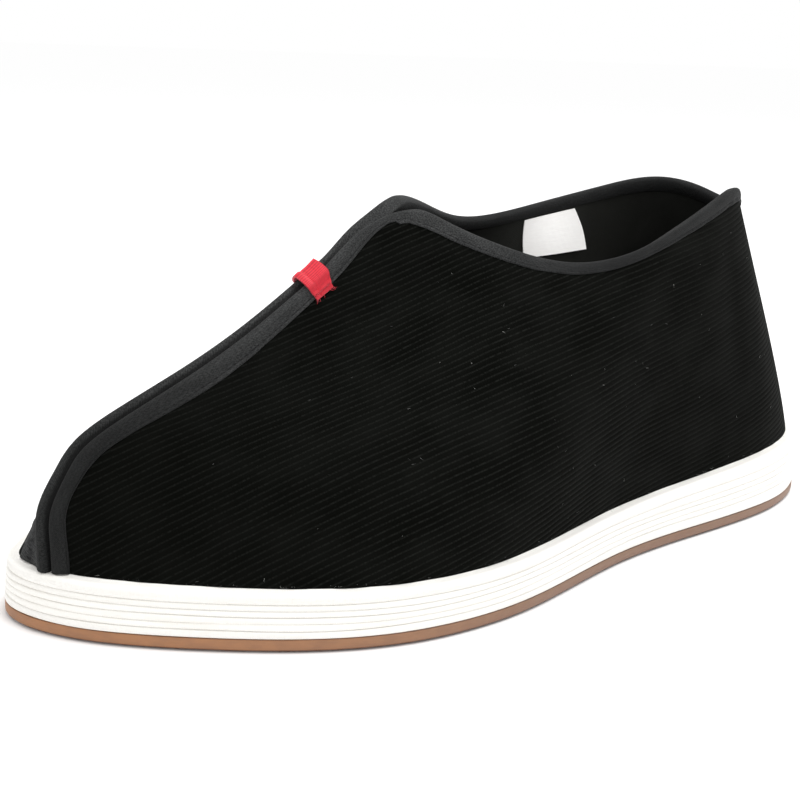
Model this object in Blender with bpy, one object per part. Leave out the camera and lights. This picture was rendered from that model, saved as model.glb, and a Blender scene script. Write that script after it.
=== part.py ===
# A cloth slip-on shoe for the left foot: a layered cloth sole on a rubber outsole, and a high
# cloth upper of two halves that meet in a bound ridge over the toe.
# +X runs to the toe, +Y to the outer side of the foot, +Z up. The sole stands on Z = 0.
# Sizes are in metres. Tables hold shares of the named sizes, chosen by hand.

import math

import bmesh
import bpy
import numpy as np

# Whole shoe
LENGTH = 0.285
BALL_WIDTH = 0.108
HEEL_WIDTH = 0.067

# Sole
OUTSOLE = 0.0034
OUTSOLE_ROUND = 0.0012
TOE_SOLE = 0.0157
WAIST_SOLE = 0.0146
HEEL_SOLE = 0.0204
LAYER_GROOVE = 0.0005
SOLE_TAPER = 0.0010
SOLE_ROUND = 0.0010
LEDGE = 0.0040
INSOLE = 0.0030
INSOLE_FIT = 0.0008

# Upper
WALL = 0.0018
BACK_HEIGHT = 0.1065
THROAT_RUN = 0.0985
COLLAR_WIDTH = 0.064
COLLAR_LENGTH = 0.143
SEAM_AT_TOE = 0.0064
SEAM_AT_HEEL = 0.0015
SLIT = 0.0026
SIDE_BULGE = 0.0030

# Bindings, tab and label
TAPE = 0.0007
RIDGE_BINDING = 0.0066
OUTER_ROLL = 0.0017
INNER_ROLL = 0.0025
SEAM_GAP = 0.0007
COLLAR_BINDING = 0.0045
COLLAR_START = 0.0020
TAB_WIDTH = 0.0080
TAB_DROP = 0.0090
TAB_THICK = 0.0008
LABEL_WIDTH = 0.0200
LABEL_HEIGHT = 0.0150
LABEL_THICK = 0.0006

# Clearance between pieces that touch
GAP = 0.0003

# Sole outline: half widths to the outer and inner side, at equal turns from the heel to the toe.
# The first rows are shares of HEEL_WIDTH, the others of BALL_WIDTH.
HEEL_OUTLINE = [
    # outer, inner
    (0.284, 0.369),
    (0.479, 0.504),
    (0.576, 0.494),
]
BALL_OUTLINE = [
    # outer, inner
    (0.420, 0.306),
    (0.553, 0.389),
    (0.539, 0.443),
    (0.348, 0.394),
    (0.140, 0.208),
]
HEEL_ASIDE = 0.022
TOE_ASIDE = -0.056

# Sole height along the shoe: share of LENGTH from the heel, then how much of the heel's lift is left
SOLE_LINE = [
    # along, lift
    (-0.10, 1.00),
    (0.10, 1.00),
    (0.35, 0.35),
    (0.60, 0.00),
    (1.10, 0.00),
]
# Lines between the cloth layers: shares of the layered height, at the toe and at the heel
LAYERS = [
    # toe, heel
    (0.00, 0.00),
    (0.16, 0.22),
    (0.31, 0.32),
    (0.46, 0.44),
    (0.60, 0.55),
    (0.74, 0.71),
]

# Front ridge from the toe seam up to the throat
RIDGE = [
    # height share, run share
    (0.00, 0.000),
    (0.09, -0.007),
    (0.18, -0.005),
    (0.28, 0.036),
    (0.36, 0.092),
    (0.44, 0.218),
    (0.54, 0.400),
    (0.63, 0.542),
    (0.73, 0.677),
    (0.84, 0.810),
    (0.94, 0.911),
    (1.00, 1.000),
]
# How far each binding reaches from the seam along the ridge, in shares of RIDGE_BINDING
BINDING_REACH = [
    # height share, outer roll, outer edge, inner roll, inner edge
    (0.00, 0.62, 0.74, 0.55, 1.50),
    (0.12, 0.54, 0.64, 0.52, 1.50),
    (0.24, 0.50, 0.62, 0.52, 1.36),
    (0.34, 0.62, 0.90, 0.44, 0.90),
    (0.48, 1.02, 1.62, 0.50, 0.90),
    (0.60, 0.90, 1.42, 0.58, 1.00),
    (0.72, 0.76, 1.20, 0.66, 1.08),
    (0.84, 0.66, 1.06, 0.62, 1.00),
    (1.00, 0.62, 1.00, 0.62, 1.00),
]
# Edge of the collar: from the throat round the outer side to the back seam, and back by the inner side
COLLAR = [
    # run (COLLAR_LENGTH), aside (COLLAR_WIDTH), height (BACK_HEIGHT)
    (0.000, 0.000, 0.961),
    (0.045, 0.085, 0.966),
    (0.100, 0.175, 0.932),
    (0.185, 0.307, 0.878),
    (0.339, 0.426, 0.829),
    (0.465, 0.473, 0.847),
    (0.605, 0.465, 0.905),
    (0.745, 0.402, 0.964),
    (0.871, 0.285, 0.998),
    (0.955, 0.140, 0.972),
    (1.000, -0.010, 0.945),
    (0.979, -0.140, 0.972),
    (0.899, -0.312, 0.999),
    (0.773, -0.442, 0.967),
    (0.605, -0.505, 0.920),
    (0.451, -0.492, 0.891),
    (0.318, -0.425, 0.900),
    (0.206, -0.325, 0.946),
    (0.115, -0.195, 0.978),
    (0.052, -0.080, 0.982),
    (0.000, 0.000, 0.961),
]
BACK_ROW = 10

# How the upper's wall runs between the sole line and its edges
VAMP_END = 0.45
KEEL = 0.16
KEEL_AT = 0.10
SIDE_LEAN = 1.5
BACK_LEAN = 1.15
TAB_AT = 0.832
TAB_RISE = 1.6
TAB_SLANT = 0.055
LABEL_AT = 0.545
LABEL_PLUMB = 0.045

# Mesh steps
SOLE_STEPS = 72
SIDE_STEPS = 36
END_CROWDING = 0.55
RISE_STEPS = 14
BINDING_STEPS = 40
DENSE = 400

OUTER = 1
INNER = -1


def loop_spline(values, turn):
    """A smooth closed curve through values at equal turns, read at turn."""
    values = np.asarray(values, float)
    size = len(values)
    ones = np.eye(size)
    system = 4 * ones + np.roll(ones, 1, 0) + np.roll(ones, -1, 0)
    bend = np.linalg.solve(system, np.roll(values, -1) - 2 * values + np.roll(values, 1))
    place = np.mod(turn, 1.0) * size
    low = np.floor(place).astype(int) % size
    high = (low + 1) % size
    after = place - np.floor(place)
    before = 1 - after
    curve = before * values[low] + after * values[high]
    return curve + (before**3 - before) * bend[low] + (after**3 - after) * bend[high]


def spline(knots, values, at):
    """A natural cubic curve through values at knots, read at at."""
    knots = np.asarray(knots, float)
    values = np.asarray(values, float)
    at = np.asarray(at, float)
    step = np.diff(knots)
    slope = np.diff(values) / step
    size = len(knots)
    system = np.eye(size)
    known = np.zeros(size)
    for k in range(1, size - 1):
        system[k, k - 1 : k + 2] = step[k - 1], 2 * (step[k - 1] + step[k]), step[k]
        known[k] = 6 * (slope[k] - slope[k - 1])
    bend = np.linalg.solve(system, known)
    low = np.clip(np.searchsorted(knots, at, side="right") - 1, 0, size - 2)
    after = (at - knots[low]) / step[low]
    before = 1 - after
    curve = before * values[low] + after * values[low + 1]
    swing = (before**3 - before) * bend[low] + (after**3 - after) * bend[low + 1]
    return curve + step[low] ** 2 / 6 * swing


def ease(low, high, value):
    """0 up to low, 1 from high, and a smooth rise between them."""
    share = np.clip((value - low) / (high - low), 0, 1)
    return share * share * (3 - 2 * share)


def unit(vector):
    return vector / np.linalg.norm(vector, axis=-1, keepdims=True)


def length_shares(points):
    steps = np.linalg.norm(np.diff(points, axis=0), axis=1)
    gone = np.concatenate([[0.0], np.cumsum(steps)])
    return gone / gone[-1]


def by_length(points, share):
    """Points of a polyline at shares of its length."""
    gone = length_shares(points)
    return np.stack([np.interp(share, gone, column) for column in points.T], -1)


def outline(turn):
    """The sole's outline at a turn: 0 at the heel, 0.25 outer side, 0.5 at the toe."""
    turn = np.asarray(turn, float)
    rows = [np.array(row) * HEEL_WIDTH for row in HEEL_OUTLINE]
    rows += [np.array(row) * BALL_WIDTH for row in BALL_OUTLINE]
    outer = [row[0] for row in rows]
    inner = [-row[1] for row in reversed(rows)]
    aside = [HEEL_ASIDE * HEEL_WIDTH, *outer, TOE_ASIDE * BALL_WIDTH, *inner]
    along = -LENGTH / 2 * np.cos(2 * math.pi * turn)
    return np.stack([along, loop_spline(aside, turn)], -1)


def inset(turn, distance):
    """The outline moved inwards."""
    turn = np.asarray(turn, float)
    near = 0.0001
    along = unit(outline(turn + near) - outline(turn - near))
    inwards = np.stack([along[..., 1], -along[..., 0]], -1)
    return outline(turn) + distance * inwards


def sole_top(x):
    """Height of the layered sole's top above the floor."""
    share = x / LENGTH + 0.5
    rows = np.array(SOLE_LINE)
    lift = spline(rows[:, 0], rows[:, 1], share)
    fore = WAIST_SOLE + (TOE_SOLE - WAIST_SOLE) * ease(0.6, 0.95, share)
    return fore + (HEEL_SOLE - WAIST_SOLE) * lift


def seam_line(x):
    """How far aside the shoe's middle seam runs."""
    return SEAM_AT_HEEL + (SEAM_AT_TOE - SEAM_AT_HEEL) * (x / LENGTH + 0.5)


def toe_turn():
    """The turn where the front seam meets the sole."""
    turns = np.linspace(0.44, 0.5, DENSE)
    aside = inset(turns, LEDGE)[:, 1]
    return float(np.interp(-SEAM_AT_TOE, -aside, turns))


def feather(side, share):
    """The line where the upper meets the sole, from the toe seam to the back seam."""
    last = 0.0 if side == OUTER else 1.0
    walk = inset(np.linspace(toe_turn(), last, DENSE), LEDGE)
    spot = by_length(walk, share)
    return np.concatenate([spot, sole_top(spot[..., :1]) + GAP], -1)


def collar(side, share):
    """The upper's top edge, from the throat to the back seam."""
    rows = np.array(COLLAR)
    throat = feather(OUTER, np.array(0.0))[0] - THROAT_RUN
    x = throat - rows[:, 0] * COLLAR_LENGTH
    points = np.stack([x, seam_line(x) + rows[:, 1] * COLLAR_WIDTH, rows[:, 2] * BACK_HEIGHT], 1)
    knots = length_shares(points)
    start = knots[0] if side == OUTER else knots[-1]
    at = np.linspace(start, knots[BACK_ROW], DENSE)
    walk = np.stack([spline(knots, column, at) for column in points.T], 1)
    return by_length(walk, share)


def upper(side, s, t):
    """A point on the upper's outside: s from the front seam to the back, t from the sole up."""
    s, t = np.broadcast_arrays(np.asarray(s, float), np.asarray(t, float))
    low = feather(side, s)
    high = collar(side, s)
    rows = np.array(RIDGE)
    ridge = spline(rows[:, 0], rows[:, 1], t)
    vamp = 1 - ease(0.0, VAMP_END, s)
    wall = t ** (SIDE_LEAN + (BACK_LEAN - SIDE_LEAN) * ease(0.55, 0.95, s))
    keel = KEEL * 4 * t * (1 - t) * (s / KEEL_AT) * np.exp(1 - s / KEEL_AT)
    lean = vamp * ridge + (1 - vamp) * wall + keel
    point = low + (high - low) * np.stack([lean, lean, t], -1)
    near = 0.001
    along = feather(side, np.clip(s + near, 0, 1)) - feather(side, np.clip(s - near, 0, 1))
    out = side * unit(np.stack([along[..., 1], -along[..., 0], 0 * s], -1))
    bulge = SIDE_BULGE * ease(0.1, 0.4, s) * (1 - ease(0.6, 0.95, s)) * np.sin(math.pi * t)
    point = point + out * bulge[..., None]
    slit = SLIT / 2 * ease(TAB_AT, 1.0, t) * np.exp(-s / 0.05)
    point[..., 1] += side * slit
    return point


def facing(side, s, t):
    """The upper's outward direction."""
    near = 0.002
    along = upper(side, np.minimum(s + near, 1), t) - upper(side, np.maximum(s - near, 0), t)
    rise = upper(side, s, np.minimum(t + near, 1)) - upper(side, s, np.maximum(t - near, 0))
    return side * unit(np.cross(along, rise))


def crowded(share):
    """Shares that lie closer together at both ends, where the shoe curves most."""
    return share - END_CROWDING * np.sin(2 * math.pi * share) / (2 * math.pi)


def side_share(side, distance, t):
    """The s that lies a distance from the front seam, at each t."""
    fine = np.linspace(0, 0.25, 60)
    levels = np.atleast_1d(t)
    found = []
    for away, level in zip(np.broadcast_to(distance, levels.shape), levels):
        walk = upper(side, fine, level)
        gone = np.concatenate([[0.0], np.cumsum(np.linalg.norm(np.diff(walk, axis=0), axis=1))])
        found.append(np.interp(away, gone, fine))
    return np.array(found)


def rise_share(side, s, distance):
    """The t that lies a distance below the upper's edge, at each s."""
    fine = np.linspace(1, 0.7, 60)
    found = []
    for place in np.atleast_1d(s):
        walk = upper(side, place, fine)
        gone = np.concatenate([[0.0], np.cumsum(np.linalg.norm(np.diff(walk, axis=0), axis=1))])
        found.append(np.interp(distance, gone, fine))
    return np.array(found)


def material(name, colour, roughness):
    made = bpy.data.materials.new(name)
    made.use_nodes = True
    shader = made.node_tree.nodes["Principled BSDF"]
    shader.inputs["Base Color"].default_value = (*colour, 1.0)
    shader.inputs["Roughness"].default_value = roughness
    shader.inputs["Metallic"].default_value = 0.0
    return made


def add_mesh(name, points, faces, colour):
    """One smooth object, moved so that the shoe's box is centred on the origin."""
    data = bpy.data.meshes.new(name)
    data.from_pydata([tuple(p) for p in points], [], faces)
    form = bmesh.new()
    form.from_mesh(data)
    bmesh.ops.recalc_face_normals(form, faces=form.faces)
    form.to_mesh(data)
    form.free()
    data.shade_smooth()
    data.set_sharp_from_angle(angle=math.radians(35))
    data.materials.append(colour)
    made = bpy.data.objects.new(name, data)
    made.location = (0.0, -box_middle(), 0.0)
    bpy.context.scene.collection.objects.link(made)
    return made


def box_middle():
    """Y of the middle of the sole's box."""
    aside = outline(np.linspace(0, 1, 4 * SOLE_STEPS, endpoint=False))[:, 1]
    return float(aside.max() + aside.min()) / 2


def ring_faces(rings, size):
    """Quads between closed rings of size points, one ring above the other."""
    faces = []
    for row in range(rings - 1):
        for k in range(size):
            after = (k + 1) % size
            low = row * size
            high = low + size
            faces.append((low + k, low + after, high + after, high + k))
    return faces


def across_faces(first, size):
    """Quads across a ring whose point k lies opposite its point size - k."""
    half = size // 2
    faces = [(first, first + 1, first + size - 1)]
    for k in range(1, half - 1):
        faces.append((first + k, first + k + 1, first + size - k - 1, first + size - k))
    faces.append((first + half - 1, first + half, first + half + 1))
    return faces


def stack_rings(name, rings, colour):
    """A solid from closed rings, the lowest first, with its ends closed."""
    size = len(rings[0])
    faces = ring_faces(len(rings), size)
    faces += across_faces(0, size)
    faces += across_faces((len(rings) - 1) * size, size)
    return add_mesh(name, np.concatenate(rings), faces, colour)


def sole_ring(distance, height):
    """The outline moved inwards, at a height that may follow x."""
    turns = np.arange(SOLE_STEPS) / SOLE_STEPS
    flat = inset(turns, distance)
    z = height(flat[:, 0]) if callable(height) else np.full(SOLE_STEPS, height)
    return np.column_stack([flat, z])


def make_outsole(colour):
    rings = [
        sole_ring(OUTSOLE_ROUND, 0.0),
        sole_ring(OUTSOLE_ROUND * 0.3, OUTSOLE_ROUND * 0.35),
        sole_ring(0.0, OUTSOLE_ROUND),
        sole_ring(0.0, OUTSOLE - GAP / 2),
    ]
    return stack_rings("outsole", rings, colour)


def layer_height(row):
    """Height of a line between layers, as a function of x."""
    base = OUTSOLE + GAP / 2
    toe, heel = LAYERS[row] if row < len(LAYERS) else (1.0, 1.0)

    def height(x):
        share = heel + (toe - heel) * ease(0.1, 0.6, x / LENGTH + 0.5)
        return base + share * (sole_top(x) - base)

    return height


def make_midsole(colour):
    """Cloth layers whose edges show as ribs round the side, and a rounded top edge."""
    rings = []
    lip = 0.3 * LAYER_GROOVE + GAP
    for row in range(len(LAYERS)):
        taper = SOLE_TAPER * LAYERS[row][0]
        low = layer_height(row)
        high = layer_height(row + 1)
        groove = LAYER_GROOVE if row else 0.4 * LAYER_GROOVE
        rings.append(sole_ring(taper + groove, low))
        rings.append(sole_ring(taper, lambda x, low=low: low(x) + lip))
        if row < len(LAYERS) - 1:
            rings.append(sole_ring(taper, lambda x, high=high: high(x) - lip))
    rings.append(sole_ring(SOLE_TAPER, lambda x: sole_top(x) - SOLE_ROUND))
    rings.append(sole_ring(SOLE_TAPER + 0.3 * SOLE_ROUND, lambda x: sole_top(x) - 0.3 * SOLE_ROUND))
    rings.append(sole_ring(SOLE_TAPER + SOLE_ROUND, sole_top))
    return stack_rings("midsole", rings, colour)


def make_insole(colour):
    """A flat sock that fills the upper's foot, clear of its wall."""
    shares = crowded(np.linspace(0, 1, SOLE_STEPS // 2 + 1))
    rings = []
    for height, reach in ((0.0, 0.0), (INSOLE, INSOLE)):
        halves = []
        for side in (OUTER, INNER):
            foot = feather(side, shares)
            level = reach / (collar(side, shares)[:, 2] - foot[:, 2])
            wall = upper(side, shares, level)
            outwards = unit(facing(side, shares, level) * (1, 1, 0))
            inside = wall - outwards * (WALL + INSOLE_FIT)
            inside[:, 2] = sole_top(inside[:, 0]) + GAP + height
            halves.append(inside)
        outer, inner = halves
        toe = (outer[0] + inner[0]) / 2
        back = (outer[-1] + inner[-1]) / 2
        rings.append(np.concatenate([[back], outer[-2:0:-1], [toe], inner[1:-1]]))
    return stack_rings("insole", rings, colour)


def inner_skin(side, s, t):
    """The upper's inside, one wall in from its outside and level with it on the sole."""
    outside = upper(side, s, t)
    out = facing(side, s, t)
    seam = unit(out[0] * (1, 0, 1))
    out[0] = seam / np.sum(seam * out[0], -1, keepdims=True)
    seam = unit(out[-1] * (1, 0, 1))
    out[-1] = seam / np.sum(seam * out[-1], -1, keepdims=True)
    foot = unit(out[:, 0] * (1, 1, 0))
    inside = outside - WALL * out
    inside[:, 0] = outside[:, 0] - WALL * foot
    inside[:, 0, 2] = sole_top(inside[:, 0, 0]) + GAP
    return inside


def make_upper(colour):
    """Both halves with their wall, joined at the back and below the tab, open below and above."""
    s = crowded(np.linspace(0, 1, SIDE_STEPS + 1))[:, None]
    t = np.linspace(0, 1, RISE_STEPS + 1)
    t[np.argmin(abs(t - TAB_AT))] = TAB_AT
    t = t[None, :]
    last = len(s) - 1
    top = t.size - 1
    points = []
    names = {}
    for skin, form in enumerate((upper, inner_skin)):
        for side in (OUTER, INNER):
            grid = form(side, s, t)
            for i, k in np.ndindex(grid.shape[:2]):
                shared = i == last or (i == 0 and t[0, k] <= TAB_AT)
                if side == INNER and shared:
                    names[skin, side, i, k] = names[skin, OUTER, i, k]
                    continue
                names[skin, side, i, k] = len(points)
                points.append(grid[i, k])
    faces = []

    def quad(*corners):
        faces.append(tuple(names[corner] for corner in corners))

    for side in (OUTER, INNER):
        for i in range(last):
            for k in range(top):
                for skin in (0, 1):
                    low = (skin, side, i, k), (skin, side, i + 1, k)
                    quad(*low, (skin, side, i + 1, k + 1), (skin, side, i, k + 1))
            for k in (0, top):
                quad((0, side, i, k), (0, side, i + 1, k), (1, side, i + 1, k), (1, side, i, k))
        for k in range(top):
            if t[0, k] >= TAB_AT:
                quad((0, side, 0, k), (0, side, 0, k + 1), (1, side, 0, k + 1), (1, side, 0, k))
    return add_mesh("upper", points, faces, colour)


def sweep(name, sections, colour):
    """A solid from equal closed sections in a row, with its two ends closed."""
    size = len(sections[0])
    faces = ring_faces(len(sections), size)
    faces.append(tuple(range(size)))
    faces.append(tuple(range((len(sections) - 1) * size, len(sections) * size)))
    return add_mesh(name, np.concatenate(sections), faces, colour)


def roll_height(side):
    return OUTER_ROLL if side == OUTER else INNER_ROLL


def make_ridge_binding(name, side, colour):
    """Bound front edge: a roll beside the seam and a flat margin, cut from the upper's own form."""
    t_top = 1 - (COLLAR_BINDING + 4 * GAP) / (BACK_HEIGHT - TOE_SOLE)
    t = np.linspace(0.003, t_top, BINDING_STEPS)
    low = GAP
    flat = GAP + TAPE
    half = SEAM_GAP / 2
    crest = roll_height(side)
    reach = np.array(BINDING_REACH)
    column = 1 if side == OUTER else 3
    roll = RIDGE_BINDING * spline(reach[:, 0], reach[:, column], t)
    edge = RIDGE_BINDING * spline(reach[:, 0], reach[:, column + 1], t)
    profile = [
        # away from the seam, above the upper
        (half, low),
        (half, 0.75 * crest),
        (0.32 * roll, crest),
        (0.65 * roll, crest),
        (0.87 * roll, 0.5 * (crest + flat)),
        (roll, flat),
        (edge, flat),
        (edge, low),
    ]
    columns = []
    for away, above in profile:
        s = side_share(side, away, t)
        columns.append(upper(side, s, t) + above * facing(side, s, t))
    return sweep(name, np.stack(columns, 1), colour)


def make_collar_binding(colour):
    """Tape folded over the upper's edge, from the slit round the back to the slit again."""
    start = float(side_share(OUTER, COLLAR_START, 1.0)[0])
    s = start + (1 - start) * crowded(np.linspace(0, 1, BINDING_STEPS))
    near = GAP
    far = GAP + TAPE
    lining = WALL + 2 * GAP
    profile = [
        # below the edge, outwards from the upper's outside
        (COLLAR_BINDING, near),
        (COLLAR_BINDING, far),
        (0.0, far),
        (-0.75 * (far + GAP), 0.5 * far),
        (-far - GAP, -lining / 2),
        (-0.75 * (far + GAP), -lining - 0.5 * TAPE),
        (0.0, -lining - TAPE),
        (COLLAR_BINDING, -lining - TAPE),
        (COLLAR_BINDING, -lining),
        (-2 * near, -lining),
        (-2 * near, near),
    ]
    halves = []
    for side in (OUTER, INNER):
        columns = []
        edge = upper(side, s, 1.0)
        below = unit(upper(side, s, 0.98) - edge)
        for down, above in profile:
            if down > 0:
                t = rise_share(side, s, down)
                columns.append(upper(side, s, t) + above * facing(side, s, t))
            else:
                columns.append(edge + down * below + above * facing(side, s, 1.0))
        halves.append(np.stack(columns, 1))
    back = (halves[0][-1] + halves[1][-1]) / 2
    sections = np.concatenate([halves[0][:-1], [back], halves[1][-2::-1]])
    return sweep("collar_binding", sections, colour)


def make_front_tab(colour):
    """A ribbon laid over both rolls of the ridge, its narrower ends hanging square to the ridge."""
    reach = TAB_WIDTH / (TAB_RISE * (BACK_HEIGHT - TOE_SOLE))
    width = np.linspace(0, 1, 5)
    first = TAB_AT - reach * (1 - width)
    clear = 1.2 * GAP
    drop = [
        # away from the seam (TAB_DROP), share of the roll's height that it keeps, how much narrower
        (1.00, 0.55, 0.26),
        (0.80, 0.66, 0.20),
        (0.60, 0.82, 0.12),
        (0.40, 1.00, 0.05),
        (0.20, 1.00, 0.00),
    ]
    skins = []
    for thick in (0.0, TAB_THICK):
        rows = []
        for side in (OUTER, INNER):
            over = roll_height(side) + clear
            half = []
            for away, keeps, narrow in drop:
                t = first - reach * narrow * (width - 0.5) - TAB_SLANT * away
                s = side_share(side, away * TAB_DROP, t)
                half.append(upper(side, s, t) + (over * keeps + thick) * facing(side, s, t))
            rows.append(half)
        seam = side_share(OUTER, 0.0, first)
        both = unit(facing(OUTER, seam, first) + facing(INNER, seam, first))
        crest = upper(OUTER, seam, first) + ((OUTER_ROLL + INNER_ROLL) / 2 + clear + thick) * both
        crest[:, 1] = seam_line(crest[:, 0])
        skins.append(np.array(rows[0] + [crest] + rows[1][::-1]))
    low, high = skins
    sections = [np.concatenate([low[:, k], high[::-1, k]]) for k in range(len(width))]
    return sweep("front_tab", sections, colour)


def make_size_label(colour):
    """A bare woven label on the lining of the inner side, below the collar's tape."""
    start = LABEL_AT
    edge = upper(INNER, np.array([start, start + 0.01]), 1.0)
    per_share = np.linalg.norm(edge[1] - edge[0]) / 0.01
    along = start + np.linspace(0, LABEL_WIDTH, 7) / per_share
    rows = []
    for share in np.linspace(0, 1, 5):
        s = along + LABEL_PLUMB * share
        t = rise_share(INNER, s, COLLAR_BINDING + GAP + LABEL_HEIGHT * share)
        rows.append((upper(INNER, s, t), facing(INNER, s, t)))
    sections = []
    for k in range(len(along)):
        near = [point[k] - (WALL + GAP) * out[k] for point, out in rows]
        far = [point[k] - (WALL + GAP + LABEL_THICK) * out[k] for point, out in rows]
        sections.append(np.array(near + far[::-1]))
    return sweep("size_label", sections, colour)


def main():
    for old in list(bpy.data.objects):
        bpy.data.objects.remove(old)
    rubber = material("brown_rubber", (0.30, 0.16, 0.10), 0.55)
    layers = material("white_cloth", (0.90, 0.88, 0.84), 0.85)
    lining = material("black_lining", (0.010, 0.010, 0.010), 0.9)
    velvet = material("black_corduroy", (0.008, 0.009, 0.008), 0.95)
    twill = material("black_twill", (0.020, 0.021, 0.021), 0.85)
    ribbon = material("red_ribbon", (0.62, 0.02, 0.04), 0.6)
    label = material("white_label", (0.90, 0.88, 0.86), 0.8)
    make_outsole(rubber)
    make_midsole(layers)
    make_insole(lining)
    make_upper(velvet)
    make_ridge_binding("ridge_binding_outer", OUTER, twill)
    make_ridge_binding("ridge_binding_inner", INNER, twill)
    make_collar_binding(twill)
    make_front_tab(ribbon)
    make_size_label(label)


main()
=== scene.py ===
# Looks of a cloth slip-on shoe for the left foot: black corduroy with its wales along the shoe, twill
# bindings with their stitches, a red ribbon, a bare label, a white layered sole and a rubber outsole.
# +X runs to the toe, +Y to the outer side of the foot, +Z up. Sizes are in metres.

import functools
import math

import bmesh
import bpy
import numpy as np
from mathutils import Matrix, Vector


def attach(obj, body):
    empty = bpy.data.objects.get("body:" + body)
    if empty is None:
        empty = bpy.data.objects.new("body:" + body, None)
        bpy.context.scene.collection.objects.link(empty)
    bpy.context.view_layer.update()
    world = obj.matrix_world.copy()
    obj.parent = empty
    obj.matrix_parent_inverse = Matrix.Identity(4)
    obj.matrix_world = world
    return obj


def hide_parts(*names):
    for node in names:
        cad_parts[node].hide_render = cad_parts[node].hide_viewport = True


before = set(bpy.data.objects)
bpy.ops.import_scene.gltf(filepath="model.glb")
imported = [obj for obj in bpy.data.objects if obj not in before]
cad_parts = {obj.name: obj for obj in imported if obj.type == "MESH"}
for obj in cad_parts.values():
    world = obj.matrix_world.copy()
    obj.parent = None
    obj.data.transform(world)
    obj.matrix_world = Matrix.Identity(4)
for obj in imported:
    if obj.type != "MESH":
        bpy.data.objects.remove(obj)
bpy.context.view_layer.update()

# Whole shoe
LENGTH = 0.285
BALL_WIDTH = 0.108
HEEL_WIDTH = 0.067

# Sole
OUTSOLE = 0.0034
OUTSOLE_ROUND = 0.0012
TOE_SOLE = 0.0157
WAIST_SOLE = 0.0146
HEEL_SOLE = 0.0204
LAYER_GROOVE = 0.0005
SOLE_TAPER = 0.0010
SOLE_ROUND = 0.0010
LEDGE = 0.0040
INSOLE = 0.0030
INSOLE_FIT = 0.0008

# Upper
WALL = 0.0018
BACK_HEIGHT = 0.1065
THROAT_RUN = 0.0985
COLLAR_WIDTH = 0.064
COLLAR_LENGTH = 0.143
SEAM_AT_TOE = 0.0064
SEAM_AT_HEEL = 0.0015
SLIT = 0.0026
SIDE_BULGE = 0.0030

# Bindings, tab, label and cloth
RIDGE_BINDING = 0.0066
ROLL_END = 0.0044
SEAM_HALF = 0.00014
OVER_EDGE = 0.0010
SET_BACK = 0.0011
THROAT_ROUND = 0.0105
MITRE = 0.020
THROAT_TURN = 0.8
PUCKER = 0.00010
ROLL_OVER = 0.00075
INNER_RISE = 1.45
TAB_WIDTH = 0.0080
TAB_DROP = 0.0092
TAB_THICK = 0.00045
TAB_OVER = 0.0023
TAB_CLEAR = 0.00035
TAB_NARROW = 0.14
TAB_SOFT = 0.0022
TAB_FOLD = 0.00028
TAB_FOLD_DIP = 0.00016
TAB_CRUMPLE = 0.00005
LABEL_WIDTH = 0.0200
LABEL_HEIGHT = 0.0155
LABEL_THICK = 0.0003
LABEL_BELOW = 0.0042
LABEL_CLEAR = 0.0004
LABEL_CURL = 0.0016
WALE = 0.00165
WALE_TILT = 10.0
WALE_DRIFT = 0.0006
STITCH = 0.0022
STITCH_LINE = 0.0018
GAP = 0.0003

# Pitches of the yarns, ribs and stitches
TAPE_YARN = 0.00055
LINING_YARN = 0.0005
SOCK_WEFT = 0.0007
SOCK_WARP = 0.0006
SOLE_WARP = 0.0006
SOLE_WEFT = 0.00045
RIBBON_RIB = 0.00035
RIBBON_STITCH = 0.0016
LABEL_RIB = 0.0004

# Camera, as the photograph has it
CAMERA_AT = (0.25386, 0.31577, 0.14540)
CAMERA_AIM = (0.0166, -0.01876, 0.0423)
CAMERA_ROLL = 2.0
CAMERA_LENS = 62.17
CAMERA_SENSOR = 36.0
CAMERA_NEAREST = 0.01

# Sole outline: half widths to the outer and inner side, at equal turns from the heel to the toe.
# The first rows are shares of HEEL_WIDTH, the others of BALL_WIDTH.
HEEL_OUTLINE = [
    # outer, inner
    (0.284, 0.369),
    (0.479, 0.504),
    (0.576, 0.494),
]
BALL_OUTLINE = [
    # outer, inner
    (0.420, 0.306),
    (0.553, 0.389),
    (0.539, 0.443),
    (0.348, 0.394),
    (0.140, 0.208),
]
HEEL_ASIDE = 0.022
TOE_ASIDE = -0.056

# Sole height along the shoe: share of LENGTH from the heel, then how much of the heel's lift is left
SOLE_LINE = [
    # along, lift
    (-0.10, 1.00),
    (0.10, 1.00),
    (0.35, 0.35),
    (0.60, 0.00),
    (1.10, 0.00),
]
# Lines between the cloth layers: shares of the layered height, at the toe and at the heel
LAYERS = [
    # toe, heel
    (0.00, 0.00),
    (0.16, 0.22),
    (0.31, 0.32),
    (0.46, 0.44),
    (0.60, 0.55),
    (0.74, 0.71),
]

# Front ridge from the toe seam up to the throat
RIDGE = [
    # height share, run share
    (0.00, 0.000),
    (0.09, -0.007),
    (0.18, -0.005),
    (0.28, 0.036),
    (0.36, 0.092),
    (0.44, 0.218),
    (0.54, 0.400),
    (0.63, 0.542),
    (0.73, 0.677),
    (0.84, 0.810),
    (0.94, 0.911),
    (1.00, 1.000),
]
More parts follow.
